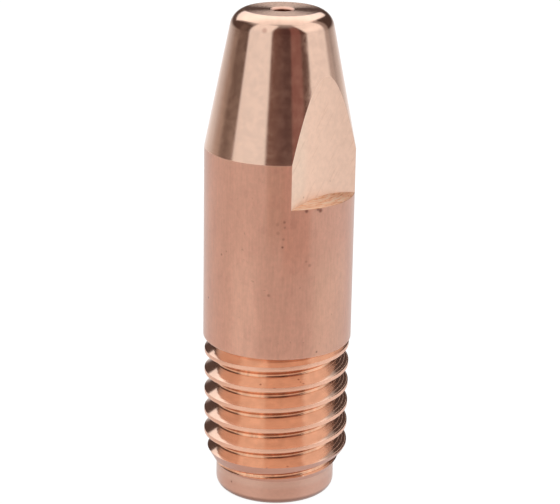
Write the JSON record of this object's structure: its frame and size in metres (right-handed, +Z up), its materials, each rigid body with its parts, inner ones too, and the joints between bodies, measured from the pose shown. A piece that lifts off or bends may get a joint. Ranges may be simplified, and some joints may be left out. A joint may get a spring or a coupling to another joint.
{
  "type": "welding contact tip",
  "caption": "Turned copper contact tip for wire-feed welding: wire bore through the axis, rounded taper nose, two wrench flats, plain body, threaded end with a pilot.",
  "frame": {"origin": "middle of the flat bottom face of the pilot, on the axis, so the part stands on the surface it is placed on", "axes": "+Z up along the axis from the threaded end to the nose; the two wrench flats face +X and -X"},
  "size_m": [0.012, 0.012, 0.0399],
  "materials": {
    "copper": "bare copper alloy: satin drawn body, mirror-bright taper, machined thread"
  },
  "bodies": {
    "root": {"contact_tip": "copper"}
  },
  "joints": []
}
